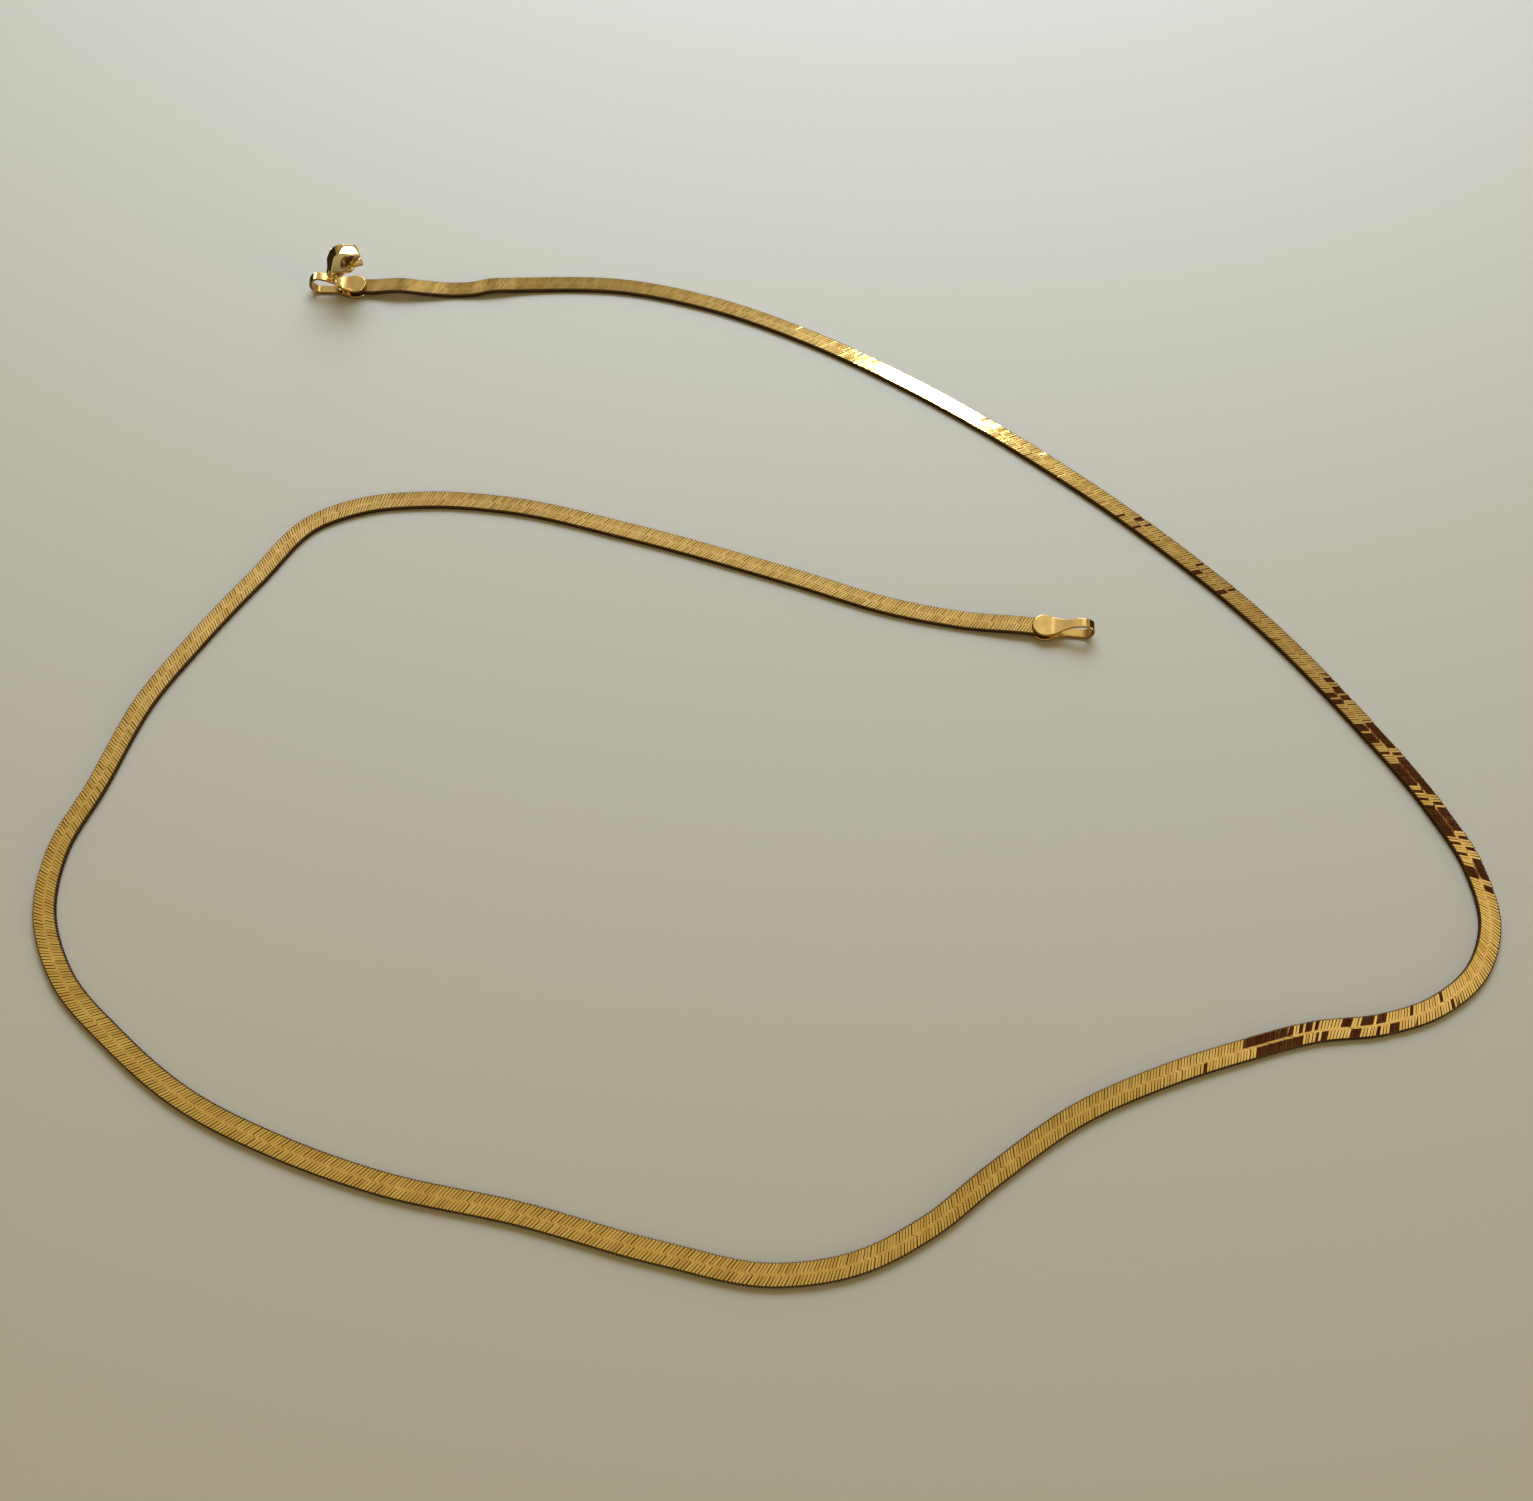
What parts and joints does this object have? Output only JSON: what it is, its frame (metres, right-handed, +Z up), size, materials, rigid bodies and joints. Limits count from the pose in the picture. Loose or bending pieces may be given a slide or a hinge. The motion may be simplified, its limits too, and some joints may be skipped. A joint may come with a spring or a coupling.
{
  "type": "herringbone neck chain",
  "caption": "Open flat herringbone neck chain with folded end tabs and a small lobster clasp on a jump ring, laid out flat.",
  "frame": {"origin": "under the middle of the outline, on the surface that the chain lies on", "axes": "+Z up from the surface, +X to the right and +Y away as seen in the picture"},
  "size_m": [0.1878, 0.1516, 0.0104],
  "materials": {
    "band_gold": "polished yellow gold, fine cross lines of the weave",
    "tab_gold": "polished yellow gold sheet",
    "clasp_gold": "bright polished yellow gold casting"
  },
  "bodies": {
    "chain": {"woven_band": "band_gold", "plain_tab": "tab_gold", "clasp_tab": "tab_gold", "jump_ring": "clasp_gold", "clasp_body": "clasp_gold", "lever_pin": "clasp_gold"},
    "lever": {"clasp_lever": "clasp_gold"}
  },
  "joints": [
    {"name": "lever_hinge", "type": "hinge", "parent": "chain", "child": "lever", "pos_m": [-0.07311, 0.07019, 0.00552], "axis": [0.3739, -0.8805, -0.2913], "range_deg": [0, 25], "stiffness_Nm_per_rad": 0.008, "springref_deg": -11.46}
  ]
}
